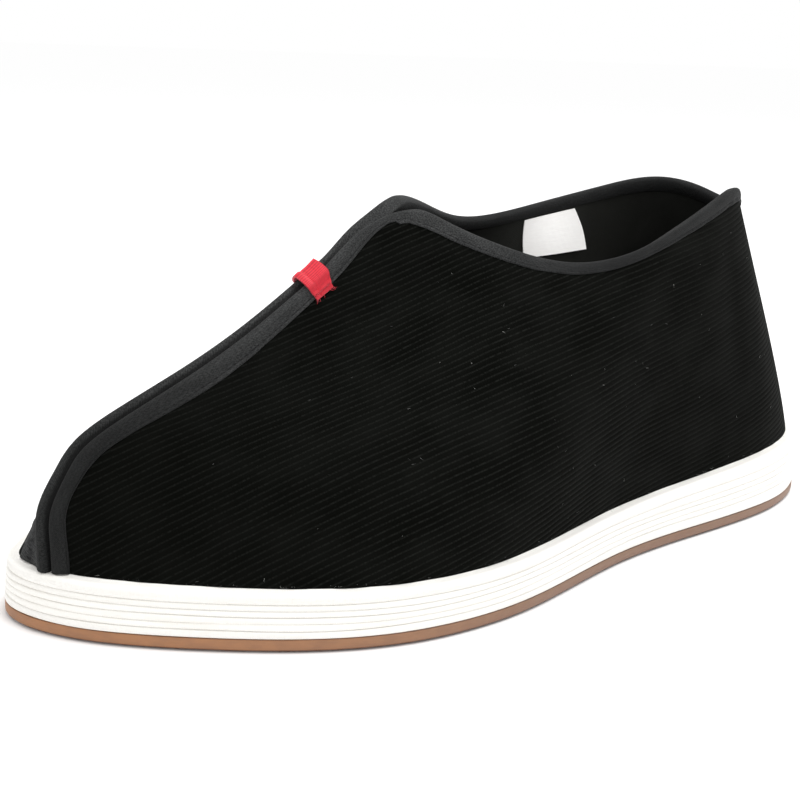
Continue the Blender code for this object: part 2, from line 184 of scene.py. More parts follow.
# How far each binding reaches from the seam along the ridge, in shares of RIDGE_BINDING
BINDING_REACH = [
    # height share, outer roll, outer edge, inner roll, inner edge
    (0.00, 0.62, 0.74, 0.55, 2.10),
    (0.12, 0.54, 0.64, 0.52, 1.95),
    (0.24, 0.50, 0.62, 0.52, 1.50),
    (0.34, 0.62, 0.90, 0.44, 0.90),
    (0.48, 1.02, 1.62, 0.50, 0.90),
    (0.60, 0.90, 1.42, 0.58, 1.00),
    (0.72, 0.76, 1.20, 0.66, 1.08),
    (0.84, 0.66, 1.06, 0.62, 1.00),
    (1.00, 0.62, 1.00, 0.62, 1.00),
]
# Edge of the collar: from the throat round the outer side to the back seam, and back by the inner side
COLLAR = [
    # run (COLLAR_LENGTH), aside (COLLAR_WIDTH), height (BACK_HEIGHT)
    (0.000, 0.000, 0.961),
    (0.045, 0.085, 0.966),
    (0.100, 0.175, 0.932),
    (0.185, 0.307, 0.878),
    (0.339, 0.426, 0.829),
    (0.465, 0.473, 0.847),
    (0.605, 0.465, 0.905),
    (0.745, 0.402, 0.964),
    (0.871, 0.285, 0.998),
    (0.955, 0.140, 0.972),
    (1.000, -0.010, 0.945),
    (0.979, -0.140, 0.972),
    (0.899, -0.312, 0.999),
    (0.773, -0.442, 0.967),
    (0.605, -0.505, 0.920),
    (0.451, -0.492, 0.891),
    (0.318, -0.425, 0.900),
    (0.206, -0.325, 0.946),
    (0.115, -0.195, 0.978),
    (0.052, -0.080, 0.982),
    (0.000, 0.000, 0.961),
]
BACK_ROW = 10

# How the upper's wall runs between the sole line and its edges
VAMP_END = 0.45
KEEL = 0.16
KEEL_AT = 0.10
SIDE_LEAN = 1.5
BACK_LEAN = 1.15
TAB_AT = 0.832
TAB_RISE = 1.6
TAB_SLANT = 0.055
LABEL_AT = 0.545
LABEL_PLUMB = 0.045

# Unevenness of the sole's edge
OUTSOLE_UNEVEN = 0.00008
LAYER_UNEVEN = 0.00010
GROOVE_SHARE = [0.4, 1.0, 0.8, 1.1, 0.9, 1.0]
LAYER_EDGE = [
    # share of the layer's height, share of the groove's depth
    (0.00, 1.00),
    (0.06, 0.55),
    (0.16, 0.20),
    (0.35, 0.02),
    (0.60, 0.00),
    (0.82, 0.16),
    (0.94, 0.55),
]
# Shallow troughs and rises in the cloth, along s
FOLDS = [
    # along, width, depth, slant
    (0.46, 0.045, 0.00030, 0.05),
    (0.60, 0.030, -0.00025, -0.04),
    (0.70, 0.035, 0.00035, 0.03),
    (0.78, 0.022, -0.00030, -0.03),
    (0.86, 0.030, 0.00025, 0.02),
]
LINT = 110
HAIRS = 150
NEAR_SIDE_SHARE = 0.6
LINT_THICK = 0.00004
HAIR_THICK = 0.00003
FRAY_THICK = 0.00009

# Light
SKY = 1.0
LIGHTS = [
    # name, place, size, power
    ("key", (-0.30, 0.45, 1.35), 0.9, 9.0),
    ("top", (-0.25, -0.15, 1.5), 1.0, 4.0),
]
LIGHT_AIM = (0, 0, 0.04)
SPOT_AT = (0.06, 0.50, 0.33)
SPOT_AIM = (-0.056, -0.037, 0.0885)
SPOT_POWER = 8.0
SPOT_CONE = 5.0
SPOT_BLEND = 0.8
SPOT_SIZE = 0.02
FLOOR_REACH = 60.0
FLOOR_DROP = 0.0003

# Section of the bound front edge and of the bound collar, in millimetres: how far from the finished
# edge, and how high above the upper's outside. The same number of rows, so that one turns into the other.
RIDGE_SECTION = [
    # in, above
    (6.60, -0.10),
    (6.62, 0.32),
    (6.35, 0.60),
    (5.70, 0.72),
    (5.05, 0.60),
    (4.40, 0.95),
    (3.50, 1.65),
    (2.45, 2.05),
    (1.35, 2.00),
    (0.50, 1.60),
    (0.10, 0.80),
    (0.00, -0.50),
    (0.10, -1.80),
    (0.60, -2.45),
    (2.50, -2.55),
    (4.40, -2.45),
    (4.60, -2.15),
    (4.40, -1.90),
    (1.60, -1.90),
    (1.20, -0.90),
    (1.60, 0.00),
]
ROLL_CREST = 8
COLLAR_SECTION = [
    # in, above
    (4.60, -0.10),
    (4.62, 0.30),
    (4.42, 0.52),
    (3.95, 0.60),
    (3.45, 0.52),
    (2.95, 0.72),
    (2.25, 0.92),
    (1.45, 0.98),
    (0.65, 0.82),
    (0.15, 0.35),
    (0.00, -0.35),
    (0.00, -1.10),
    (0.12, -1.90),
    (0.60, -2.50),
    (2.20, -2.65),
    (4.20, -2.50),
    (4.50, -2.25),
    (4.20, -1.92),
    (1.80, -1.90),
    (1.50, -0.90),
    (1.80, 0.00),
]

# Mesh steps
TURN_STEPS = 300
SIDE_STEPS = 150
END_CROWDING = 0.55
RISE_STEPS = 48
PATTERN_STEPS = 24
RIDGE_STEPS = 150
COLLAR_STEPS = 170
TAB_STEPS = 40
LABEL_STEPS = 24
DENSE = 400
EDGE_STEP = 0.02

OUTER = 1
INNER = -1


def loop_spline(values, turn):
    """A smooth closed curve through values at equal turns, read at turn."""
    values = np.asarray(values, float)
    size = len(values)
    ones = np.eye(size)
    system = 4 * ones + np.roll(ones, 1, 0) + np.roll(ones, -1, 0)
    bend = np.linalg.solve(system, np.roll(values, -1) - 2 * values + np.roll(values, 1))
    place = np.mod(turn, 1.0) * size
    low = np.floor(place).astype(int) % size
    high = (low + 1) % size
    after = place - np.floor(place)
    before = 1 - after
    curve = before * values[low] + after * values[high]
    return curve + (before**3 - before) * bend[low] + (after**3 - after) * bend[high]


def spline(knots, values, at):
    """A natural cubic curve through values at knots, read at at."""
    knots = np.asarray(knots, float)
    values = np.asarray(values, float)
    at = np.asarray(at, float)
    step = np.diff(knots)
    slope = np.diff(values) / step
    size = len(knots)
    system = np.eye(size)
    known = np.zeros(size)
    for k in range(1, size - 1):
        system[k, k - 1 : k + 2] = step[k - 1], 2 * (step[k - 1] + step[k]), step[k]
        known[k] = 6 * (slope[k] - slope[k - 1])
    bend = np.linalg.solve(system, known)
    low = np.clip(np.searchsorted(knots, at, side="right") - 1, 0, size - 2)
    after = (at - knots[low]) / step[low]
    before = 1 - after
    curve = before * values[low] + after * values[low + 1]
    swing = (before**3 - before) * bend[low] + (after**3 - after) * bend[low + 1]
    return curve + step[low] ** 2 / 6 * swing


def ease(low, high, value):
    """0 up to low, 1 from high, and a smooth rise between them."""
    share = np.clip((value - low) / (high - low), 0, 1)
    return share * share * (3 - 2 * share)


def unit(vector):
    return vector / np.linalg.norm(vector, axis=-1, keepdims=True)


def lengths(points, axis=0):
    """How far along it each point of a polyline lies, for one line or for many side by side."""
    gone = np.cumsum(np.linalg.norm(np.diff(points, axis=axis), axis=-1), axis)
    return np.concatenate([0 * np.take(gone, [0], axis), gone], axis)


def length_shares(points):
    gone = lengths(points)
    return gone / gone[-1]


def by_length(points, share):
    """Points of a polyline at shares of its length."""
    gone = length_shares(points)
    return np.stack([np.interp(share, gone, column) for column in points.T], -1)


def outline(turn):
    """The sole's outline at a turn: 0 at the heel, 0.25 outer side, 0.5 at the toe."""
    turn = np.asarray(turn, float)
    rows = [np.array(row) * HEEL_WIDTH for row in HEEL_OUTLINE]
    rows += [np.array(row) * BALL_WIDTH for row in BALL_OUTLINE]
    outer = [row[0] for row in rows]
    inner = [-row[1] for row in reversed(rows)]
    aside = [HEEL_ASIDE * HEEL_WIDTH, *outer, TOE_ASIDE * BALL_WIDTH, *inner]
    along = -LENGTH / 2 * np.cos(2 * math.pi * turn)
    return np.stack([along, loop_spline(aside, turn)], -1)


def inset(turn, distance):
    """The outline moved inwards."""
    turn = np.asarray(turn, float)
    near = 0.0001
    along = unit(outline(turn + near) - outline(turn - near))
    inwards = np.stack([along[..., 1], -along[..., 0]], -1)
    return outline(turn) + distance * inwards


def sole_top(x):
    """Height of the layered sole's top above the floor."""
    share = x / LENGTH + 0.5
    rows = np.array(SOLE_LINE)
    lift = spline(rows[:, 0], rows[:, 1], share)
    fore = WAIST_SOLE + (TOE_SOLE - WAIST_SOLE) * ease(0.6, 0.95, share)
    return fore + (HEEL_SOLE - WAIST_SOLE) * lift


def seam_line(x):
    """How far aside the shoe's middle seam runs."""
    return SEAM_AT_HEEL + (SEAM_AT_TOE - SEAM_AT_HEEL) * (x / LENGTH + 0.5)


def toe_turn():
    """The turn where the front seam meets the sole."""
    turns = np.linspace(0.44, 0.5, DENSE)
    aside = inset(turns, LEDGE)[:, 1]
    return float(np.interp(-SEAM_AT_TOE, -aside, turns))


@functools.cache
def feather_walk(side):
    last = 0.0 if side == OUTER else 1.0
    return inset(np.linspace(toe_turn(), last, DENSE), LEDGE)


def feather(side, share):
    """The line where the upper meets the sole, from the toe seam to the back seam."""
    spot = by_length(feather_walk(side), share)
    return np.concatenate([spot, sole_top(spot[..., :1]) + GAP], -1)


@functools.cache
def collar_walk(side):
    rows = np.array(COLLAR)
    throat = feather(OUTER, np.array(0.0))[0] - THROAT_RUN
    x = throat - rows[:, 0] * COLLAR_LENGTH
    points = np.stack([x, seam_line(x) + rows[:, 1] * COLLAR_WIDTH, rows[:, 2] * BACK_HEIGHT], 1)
    knots = length_shares(points)
    start = knots[0] if side == OUTER else knots[-1]
    at = np.linspace(start, knots[BACK_ROW], DENSE)
    return np.stack([spline(knots, column, at) for column in points.T], 1)


def collar(side, share):
    """The upper's top edge, from the throat to the back seam."""
    return by_length(collar_walk(side), share)


def upper(side, s, t):
    """A point on the upper's outside: s from the front seam to the back, t from the sole up."""
    s, t = np.broadcast_arrays(np.asarray(s, float), np.asarray(t, float))
    low = feather(side, s)
    high = collar(side, s)
    rows = np.array(RIDGE)
    ridge = spline(rows[:, 0], rows[:, 1], t)
    vamp = 1 - ease(0.0, VAMP_END, s)
    wall = t ** (SIDE_LEAN + (BACK_LEAN - SIDE_LEAN) * ease(0.55, 0.95, s))
    keel = KEEL * 4 * t * (1 - t) * (s / KEEL_AT) * np.exp(1 - s / KEEL_AT)
    lean = vamp * ridge + (1 - vamp) * wall + keel
    point = low + (high - low) * np.stack([lean, lean, t], -1)
    near = 0.001
    along = feather(side, np.clip(s + near, 0, 1)) - feather(side, np.clip(s - near, 0, 1))
    out = side * unit(np.stack([along[..., 1], -along[..., 0], 0 * s], -1))
    bulge = SIDE_BULGE * ease(0.1, 0.4, s) * (1 - ease(0.6, 0.95, s)) * np.sin(math.pi * t)
    point = point + out * bulge[..., None]
    slit = SLIT / 2 * ease(TAB_AT, 1.0, t) * np.exp(-s / 0.05)
    point[..., 1] += side * slit
    return point


def facing(side, s, t):
    """The upper's outward direction."""
    near = 0.002
    along = upper(side, np.minimum(s + near, 1), t) - upper(side, np.maximum(s - near, 0), t)
    rise = upper(side, s, np.minimum(t + near, 1)) - upper(side, s, np.maximum(t - near, 0))
    return side * unit(np.cross(along, rise))


def box_middle():
    """Y of the middle of the sole's box."""
    aside = outline(np.linspace(0, 1, 288, endpoint=False))[:, 1]
    return float(aside.max() + aside.min()) / 2


def crowded(share):
    """Shares that lie closer together at both ends, where the shoe curves most."""
    return share - END_CROWDING * np.sin(2 * math.pi * share) / (2 * math.pi)


def read_rows(distance, gone, shares):
    """The share at which each row of lengths reaches its distance."""
    away = np.broadcast_to(distance, len(gone))
    return np.array([np.interp(far, row, shares) for far, row in zip(away, gone)])


def side_share(side, distance, t, last=0.25, steps=60):
    """The s that lies a distance from the front seam, at each t."""
    fine = np.linspace(0, last, steps)
    return read_rows(distance, lengths(upper(side, fine[:, None], np.asarray(t)[None, :])).T, fine)


def rise_share(side, s, distance, last=0.7, steps=60):
    """The t that lies a distance below the upper's edge, at each s."""
    fine = np.linspace(1, last, steps)
    return read_rows(distance, lengths(upper(side, np.asarray(s)[:, None], fine[None, :]), 1), fine)


def per_rise(side, s):
    """Metres for each t at the upper's edge."""
    return np.linalg.norm(upper(side, s, 1.0) - upper(side, s, 1 - EDGE_STEP), axis=-1) / EDGE_STEP


def per_run(side, t):
    """Metres for each s beside the front seam."""
    return np.linalg.norm(upper(side, EDGE_STEP, t) - upper(side, 0.0, t), axis=-1) / EDGE_STEP


def beyond(side, s, t):
    """The upper's outside, carried straight on above its edge where t is over 1."""
    inside = np.minimum(t, 1)
    slope = (upper(side, s, 1.0) - upper(side, s, 1 - EDGE_STEP)) / EDGE_STEP
    return upper(side, s, inside) + np.maximum(t - 1, 0)[..., None] * slope


def soft_folds(side, s, t):
    """How far the cloth stands out or sinks in: shallow troughs at the quarter and beside the ridge."""
    folds = 0.0
    for along, width, depth, slant in FOLDS:
        place = (s - along - slant * (t - 0.5)) / width
        folds = folds + depth * np.exp(-place * place)
    folds = folds * ease(0.03, 0.3, t) * (1 - ease(0.75, 0.98, t)) * ease(0.12, 0.3, s)
    return folds * (1 - ease(0.93, 0.99, s))


def skin(side, s, t, above=0.0):
    """A point over the upper's outside, with the throat's corner rounded off."""
    s, t, above = np.broadcast_arrays(*(np.asarray(value, float) for value in (s, t, above)))
    inside = np.minimum(t, 1)
    point = upper(side, s, inside)
    per_t = per_rise(side, s)
    from_rim = np.where(t > 1, (1 - t) * per_t, np.linalg.norm(point - upper(side, s, 1.0), axis=-1))
    from_seam = np.linalg.norm(point - upper(side, 0.0, inside), axis=-1)
    p = np.clip((THROAT_ROUND - from_seam) / THROAT_ROUND, 0, 1)
    q = np.clip((THROAT_ROUND - from_rim) / THROAT_ROUND, 0, 1.3)
    moved_s = s + THROAT_ROUND * p * (1 - np.sqrt(1 - q * q / 2)) / per_run(side, inside)
    moved_t = t - THROAT_ROUND * q * (1 - np.sqrt(1 - p * p / 2)) / per_t
    point = beyond(side, moved_s, moved_t)
    out = facing(side, moved_s, np.minimum(moved_t, 1))
    lift = above + soft_folds(side, moved_s, np.minimum(moved_t, 1))
    return point + lift[..., None] * out


def wobble(place, seed, waves, low=2):
    """A smooth closed wave of about unit height, the same each time for a seed."""
    chance = np.random.default_rng(seed)
    total = np.zeros_like(np.asarray(place, float))
    for wave in range(low, low + waves):
        total += chance.normal() * np.sin(2 * math.pi * (wave * place + chance.random()))
    return total / math.sqrt(waves)


def turned_by(spots, angle):
    return spots @ np.array([[math.cos(angle), math.sin(angle)], [-math.sin(angle), math.cos(angle)]])


def flat_pattern(side, s, t):
    """Where each point of one half lies on the flat cloth it was cut from, in metres.
    Angles are kept as well as a flat cloth can, and the first direction follows the wales."""
    coarse_s = np.linspace(0, 1, PATTERN_STEPS + 1)
    coarse_t = np.linspace(0, 1, PATTERN_STEPS // 2 + 1)
    grid = upper(side, coarse_s[:, None], coarse_t[None, :])
    rows, columns = grid.shape[:2]
    points = grid.reshape(-1, 3)
    triangles = []
    for i in range(rows - 1):
        for k in range(columns - 1):
            corner = i * columns + k
            triangles.append((corner, corner + columns, corner + columns + 1))
            triangles.append((corner, corner + columns + 1, corner + 1))
    size = len(points)
    system = np.zeros((2 * len(triangles), 2 * size))
    for row, triangle in enumerate(triangles):
        first, second, third = points[list(triangle)]
        x_axis = unit(second - first)
        off = third - first
        height = np.linalg.norm(off - np.dot(off, x_axis) * x_axis)
        flat = [0j, complex(np.linalg.norm(second - first)), complex(np.dot(off, x_axis), height)]
        weight = math.sqrt(abs(flat[1].real * height))
        for turn, corner in enumerate(triangle):
            edge = (flat[(turn + 2) % 3] - flat[(turn + 1) % 3]) / weight
            system[2 * row, corner] = edge.real
            system[2 * row, corner + size] = -edge.imag
            system[2 * row + 1, corner] = edge.imag
            system[2 * row + 1, corner + size] = edge.real
    toe = columns // 2
    back = (rows - 1) * columns + columns // 2
    fixed = [toe, back, toe + size, back + size]
    span = np.linalg.norm(points[back] - points[toe])
    known = np.array([0.0, span, 0.0, 0.0])
    free = np.setdiff1d(np.arange(2 * size), fixed)
    solved = np.zeros(2 * size)
    solved[fixed] = known
    solved[free] = np.linalg.lstsq(system[:, free], -system[:, fixed] @ known, rcond=None)[0]
    spots = np.stack([solved[:size], solved[size:]], -1).reshape(rows, columns, 2)
    middle = rows // 2
    real = np.linalg.norm(grid[middle, -1] - grid[middle, 0])
    spots = spots * real / np.linalg.norm(spots[middle, -1] - spots[middle, 0])
    level = spots[middle + 3, columns // 2] - spots[middle - 3, columns // 2]
    rise = grid[middle + 3, columns // 2] - grid[middle - 3, columns // 2]
    tilt = math.atan2(rise[2], math.hypot(rise[0], rise[1])) - math.radians(WALE_TILT)
    up = spots[middle, -1] - spots[middle, 0]
    turned = level[0] * up[1] - level[1] * up[0]
    angle = -math.atan2(level[1], level[0])
    spots = turned_by(spots, angle)
    if turned < 0:
        spots[..., 1] *= -1
    spots = turned_by(spots, tilt)
    spread = spline_table(coarse_s, spots.reshape(rows, -1), s).reshape(len(s), columns, 2)
    spread = np.swapaxes(spread, 0, 1).reshape(columns, -1)
    return np.swapaxes(spline_table(coarse_t, spread, t).reshape(len(t), len(s), 2), 0, 1)


def spline_table(knots, table, at):
    """Each column of a table as a natural cubic curve, read at at."""
    return np.stack([spline(knots, column, at) for column in np.asarray(table).T], -1)


class Piece:
    """A mesh gathered from grids of points. Each grid has flat coordinates and a material."""

    def __init__(self, name):
        self.name = name
        self.points = []
        self.faces = []
        self.flat = []
        self.finish = []
        self.size = 0

    def grid(self, points, flat=None, finish=0, wrap=False):
        """Quads between the rows of a grid. With wrap, the last column joins the first."""
        rows, columns = points.shape[:2]
        if flat is None:
            across, along = np.meshgrid(np.arange(columns + 1), np.arange(rows))
            flat = np.stack([across, along], -1) * 0.001
        ends = columns if wrap else columns - 1
        for i in range(rows - 1):
            for k in range(ends):
                after = (k + 1) % columns
                low = self.size + i * columns
                high = low + columns
                self.faces.append((low + k, low + after, high + after, high + k))
                self.flat.append((flat[i, k], flat[i, k + 1], flat[i + 1, k + 1], flat[i + 1, k]))
                self.finish.append(finish)
        self.points.append(points.reshape(-1, 3))
        self.size += rows * columns

    def cap(self, ring):
        """One face across a closed ring."""
        self.faces.append(tuple(range(self.size, self.size + len(ring))))
        self.flat.append([tuple(point[:2]) for point in ring])
        self.finish.append(0)
        self.points.append(np.asarray(ring))
        self.size += len(ring)

    def tube(self, rings, flat=None):
        """A closed form through rings, with a face across each end."""
        self.grid(rings, flat, wrap=True)
        self.cap(rings[0])
        self.cap(rings[-1])

    def make(self, materials, angle=40):
        """The finished object, riding on the shoe."""
        points = np.concatenate(self.points) - (0, MIDDLE, 0)
        data = bpy.data.meshes.new(self.name)
        data.from_pydata(points.tolist(), [], self.faces)
        layer = data.uv_layers.new(name="cut")
        corners = np.array([corner for face in self.flat for corner in face], np.float32)
        layer.data.foreach_set("uv", corners.reshape(-1))
        data.polygons.foreach_set("material_index", self.finish)
        form = bmesh.new()
        form.from_mesh(data)
        bmesh.ops.remove_doubles(form, verts=form.verts, dist=0.000002)
        bmesh.ops.recalc_face_normals(form, faces=form.faces)
        form.to_mesh(data)
        form.free()
        data.shade_smooth()
        data.set_sharp_from_angle(angle=math.radians(angle))
        for finish in materials:
            data.materials.append(finish)
        made = bpy.data.objects.new(self.name, data)
        bpy.context.scene.collection.objects.link(made)
        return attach(made, "root")


class Graph:
    """A material's nodes, with short calls for the ones that are used often."""

    def __init__(self, name, roughness, specular):
        self.material = bpy.data.materials.new(name)
        self.material.use_nodes = True
        self.tree = self.material.node_tree
        self.shader = self.tree.nodes["Principled BSDF"]
        self.surface("Roughness", roughness)
        self.surface("Specular IOR Level", specular)

    def feed(self, socket, value):
        """Joins a socket to another, or sets its number, colour or vector."""
        if isinstance(value, bpy.types.NodeSocket):
            self.tree.links.new(value, socket)
        elif value is not None:
            socket.default_value = (*value, 1.0) if socket.type == "RGBA" else value

    def surface(self, name, value):
        self.feed(self.shader.inputs[name], value)

    def colour(self, value):
        self.surface("Base Color", value)

    def sheen(self, weight, roughness, tint):
        self.surface("Sheen Weight", weight)
        self.surface("Sheen Roughness", roughness)
        self.surface("Sheen Tint", tint)

    def node(self, kind, *feeds, **settings):
        made = self.tree.nodes.new("ShaderNode" + kind)
        for name, value in settings.items():
            setattr(made, name, value)
        for k, feed in enumerate(feeds):
            self.feed(made.inputs[k], feed)
        return made

    def math(self, operation, first, second=None):
        return self.node("Math", first, second, operation=operation).outputs[0]

    def times(self, first, second):
        return self.math("MULTIPLY", first, second)

    def plus(self, first, second):
        return self.math("ADD", first, second)

    def minus(self, first, second):
        return self.math("SUBTRACT", first, second)

    def away(self, first, second):
        """How far one value is from the other."""
        return self.math("ABSOLUTE", self.minus(first, second))

    def wave(self, value, pitch):
        """0.5 + 0.5 cos over a pitch."""
        turned = self.times(value, 2 * math.pi / pitch)
        return self.plus(self.times(self.math("COSINE", turned), 0.5), 0.5)

    def flat(self):
        """The cloth's own coordinates: both, along, across."""
        where = self.node("UVMap", uv_map="cut").outputs[0]
        parts = self.node("SeparateXYZ", where)
        return where, parts.outputs[0], parts.outputs[1]

    def place(self):
        """The place on the shoe: all three coordinates, x, y, z."""
        where = self.node("TexCoord").outputs["Object"]
        parts = self.node("SeparateXYZ", where)
        return where, parts.outputs[0], parts.outputs[1], parts.outputs[2]

    def noise(self, where, scale, detail=2):
        """Noise with a scale of its own along each coordinate."""
        scaled = self.node("Mapping", where, None, None, (*scale, 1.0)[:3])
        made = self.node("TexNoise", scaled.outputs[0])
        made.inputs["Scale"].default_value = 1.0
        made.inputs["Detail"].default_value = detail
        return made.outputs["Fac"]

    def between(self, value, low, high, to_low=0.0, to_high=1.0):
        """A smooth rise from to_low at low to to_high at high."""
        made = self.node("MapRange", value, low, high, to_low, to_high, interpolation_type="SMOOTHSTEP")
        return made.outputs[0]

    def mix(self, share, low, high):
        """One colour at share 0, the other at 1."""
        made = self.node("Mix", share, data_type="RGBA")
        self.feed(made.inputs[6], low)
        self.feed(made.inputs[7], high)
        return made.outputs[2]

    def fade(self, value, low, high, first, second):
        """One colour up to low, the other from high."""
        return self.mix(self.between(value, low, high), first, second)

    def bump(self, *layers):
        """Bumps one over another: pairs of height and real depth."""
        normal = None
        for height, depth in layers:
            made = self.node("Bump")
            feeds = {"Strength": 1.0, "Distance": depth, "Height": height, "Normal": normal}
            for name, value in feeds.items():
                self.feed(made.inputs[name], value)
            normal = made.outputs[0]
        self.surface("Normal", normal)


MIDDLE = box_middle()
TURNS = np.arange(TURN_STEPS) / TURN_STEPS


def shares(size):
    return np.linspace(0, 1, size + 1)


def turn_ring(distance, height):
    """A ring of the sole's outline moved inwards: distance and height may vary along it."""
    flat = inset(TURNS, np.broadcast_to(distance, TURNS.shape)[:, None])
    z = height(flat[:, 0]) if callable(height) else height
    return np.column_stack([flat, np.broadcast_to(z, TURNS.shape)])


def pairs(first, second):
    """Flat coordinates of a grid from those of its columns and of its rows."""
    return np.stack(np.broadcast_arrays(first, second), -1)


def across(piece, ring):
    """Quads across a ring whose point k lies opposite its point size - k."""
    half = len(ring) // 2
    first = np.array([ring[k] for k in range(half + 1)])
    second = np.array([ring[-k] for k in range(half + 1)])
    middle = (first + second) / 2
    points = np.array([first, 0.5 * (first + middle), middle, 0.5 * (second + middle), second])
    piece.grid(points, points[..., :2])


def stacked(name, rings, finish, angle=40):
    """A closed piece from rings one over another, with flat coordinates of real lengths."""
    piece = Piece(name)
    points = np.array(rings)
    around = lengths(np.concatenate([points[0], points[0][:1]]))
    piece.grid(points, pairs(around[None, :], lengths(points[:, 0])[:, None]), wrap=True)
    across(piece, rings[0])
    across(piece, rings[-1])
    return piece.make([finish], angle)


def make_outsole(finish):
    """A thin sheet of rubber with a rounded, slightly uneven edge."""
    uneven = OUTSOLE_UNEVEN * wobble(TURNS, 3, 30)
    top = OUTSOLE - GAP / 2
    rings = [turn_ring(OUTSOLE_ROUND * 1.3, 0.0)]
    for share in np.linspace(0, 1, 6):
        angle = share * math.pi / 2
        away = OUTSOLE_ROUND * (1 - math.sin(angle)) + uneven * share
        rings.append(turn_ring(away, OUTSOLE_ROUND * (1 - math.cos(angle))))
    rings.append(turn_ring(uneven, 0.6 * top))
    rings.append(turn_ring(uneven, top - 0.0003))
    rings.append(turn_ring(uneven + 0.0002, top))
    rings.append(turn_ring(uneven + 0.0010, top))
    return stacked("rubber_outsole", rings, finish)


def layer_height(row):
    """Height of a line between layers, as a function of x."""
    base = OUTSOLE + GAP / 2
    toe, heel = LAYERS[row] if row < len(LAYERS) else (1.0, 1.0)
    uneven = LAYER_UNEVEN * wobble(TURNS, 20 + row, 14) if 0 < row < len(LAYERS) else 0.0

    def height(x):
        share = heel + (toe - heel) * ease(0.1, 0.6, x / LENGTH + 0.5)
        return base + share * (sole_top(x) - base) + uneven

    return height


def make_layers(finish):
    """Six cloth layers, each with its own rounded, slightly uneven edge, and a lip round the upper."""
    rings = []
    for row in range(len(LAYERS)):
        low = layer_height(row)
        high = layer_height(row + 1)
        taper = SOLE_TAPER * LAYERS[row][0] + LAYER_UNEVEN * wobble(TURNS, 40 + row, 18)
        last = row == len(LAYERS) - 1
        groove = LAYER_GROOVE * GROOVE_SHARE[row]
        for share, into in LAYER_EDGE[: 4 if last else None]:
            def height(x, share=share):
                return low(x) + share * (high(x) - low(x))
            rings.append(turn_ring(taper + groove * into, height))
    edge = SOLE_TAPER + LAYER_UNEVEN * wobble(TURNS, 60, 18)
    for share in np.linspace(0, 1, 5):
        angle = share * math.pi / 2
        away = edge + SOLE_ROUND * (1 - math.cos(angle))
        rings.append(turn_ring(away, lambda x, a=angle: sole_top(x) - SOLE_ROUND * (1 - math.sin(a))))
    ragged = 0.5 + 0.5 * np.clip(wobble(TURNS, 70, 60, 12), -1, 1)
    rings.append(turn_ring(LEDGE * 0.72, sole_top))
    rings.append(turn_ring(LEDGE * 0.88, lambda x: sole_top(x) + 0.00015 * ragged))
    rings.append(turn_ring(LEDGE - 0.0002 * ragged, lambda x: sole_top(x) + 0.0001 + 0.0003 * ragged))
    rings.append(turn_ring(LEDGE + 0.0007, lambda x: sole_top(x) + 0.0002))
    rings.append(turn_ring(LEDGE + 0.0014, sole_top))
    return stacked("cloth_sole", rings, finish, 60)


def make_insole(finish):
    """The sock inside, slightly dished, with a soft edge against the wall."""
    along = crowded(shares(60))
    rings = []
    for height, reach, inner in ((0.0, 0.0, 0.0), (0.6, 0.6, 0.0), (0.95, 1.0, 0.0006), (1.0, 1.0, 0.002)):
        halves = []
        for side in (OUTER, INNER):
            foot = feather(side, along)
            level = INSOLE * reach / (collar(side, along)[:, 2] - foot[:, 2])
            wall = upper(side, along, level)
            outwards = unit(facing(side, along, level) * (1, 1, 0))
            inside = wall - outwards * (WALL + INSOLE_FIT + inner)
            inside[:, 2] = sole_top(inside[:, 0]) + GAP + INSOLE * height
            halves.append(inside)
        outer, inner_half = halves
        toe = (outer[0] + inner_half[0]) / 2
        back = (outer[-1] + inner_half[-1]) / 2
        rings.append(np.concatenate([[back], outer[-2:0:-1], [toe], inner_half[1:-1]]))
    return stacked("insole_sock", rings, finish)


def make_upper(velvet, lining):
    """Both halves, each a wall of corduroy outside and lining inside, joined at the back."""
    piece = Piece("corduroy_upper")
    across_shares = crowded(shares(SIDE_STEPS))
    t = shares(RISE_STEPS)
    for side in (OUTER, INNER):
        start = side_share(side, SET_BACK, t)
        s = start + (1 - start) * across_shares[:, None]
        outside = skin(side, s, t)
        inside = skin(side, s, t, -WALL)
        for sheet in (outside, inside):
            sheet[-1, :, 1] = seam_line(sheet[-1, :, 0])
        foot = unit((inside[:, 0] - outside[:, 0]) * (1, 1, 0))
        inside[:, 0] = outside[:, 0] + WALL * foot
        inside[:, 0, 2] = outside[:, 0, 2]
        pattern = flat_pattern(side, across_shares, t)
        piece.grid(outside, pattern, 0)
        piece.grid(inside, pattern, 1)
        for edge in (np.s_[:, 0], np.s_[:, -1], 0):
            rim = np.stack([outside[edge], inside[edge]], 1)
            piece.grid(rim, np.stack([pattern[edge]] * 2, 1), 1)
    return piece.make([velvet, lining], angle=50)


def tape_path(side):
    """Places along one half's finished edge, from the toe up the front and round to the back seam.
    Each row: s, t, how far the place is from the throat's corner, and 0 on the front or 1 on the collar."""
    top = 1 + OVER_EDGE / per_rise(side, 0.0)
    t = top * shares(RIDGE_STEPS) ** 0.9
    gone = lengths(skin(side, 0.0, t))
    front = np.stack([np.zeros_like(t), t, gone[-1] - gone, np.zeros_like(t)], 1)
    s = crowded(shares(COLLAR_STEPS))[1:]
    run = lengths(upper(side, np.concatenate([[0.0], s]), 1.0))[1:]
    back = np.stack([s, np.full_like(s, top), run, np.ones_like(s)], 1)
    return np.concatenate([front, back])


